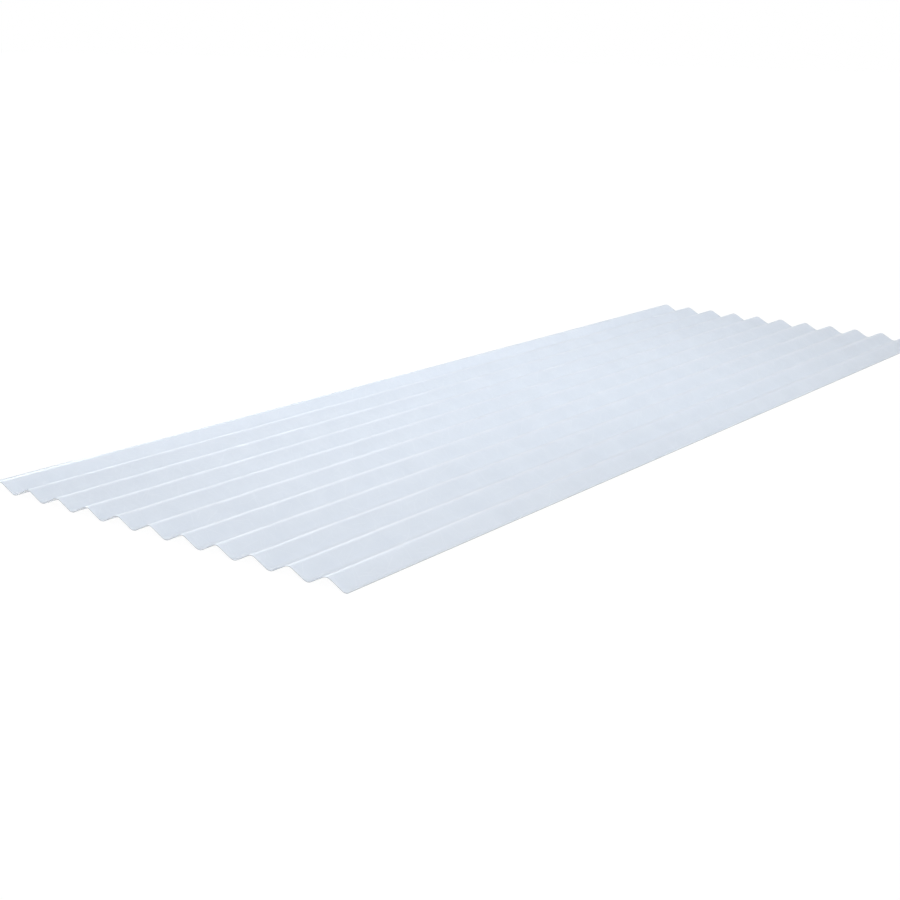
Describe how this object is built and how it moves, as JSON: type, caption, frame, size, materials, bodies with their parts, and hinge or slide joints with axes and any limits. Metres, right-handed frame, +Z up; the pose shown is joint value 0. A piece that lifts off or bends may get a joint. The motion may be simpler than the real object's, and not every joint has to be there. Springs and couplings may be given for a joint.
{
  "type": "corrugated polyester sheet",
  "caption": "Translucent glass-fibre polyester sheet with a regular rounded wave, cut square, for roofs and walls that let daylight in.",
  "frame": {"origin": "on the floor, under the middle of the sheet", "axes": "+Y along the corrugations, +X across them towards the side edge that ends low, +Z up"},
  "size_m": [0.813, 2.5, 0.017],
  "materials": {
    "polyester": "smooth glossy gel surface, translucent bluish white, faint chopped-glass pattern inside"
  },
  "bodies": {
    "root": {"corrugated_sheet": "polyester"}
  },
  "joints": []
}
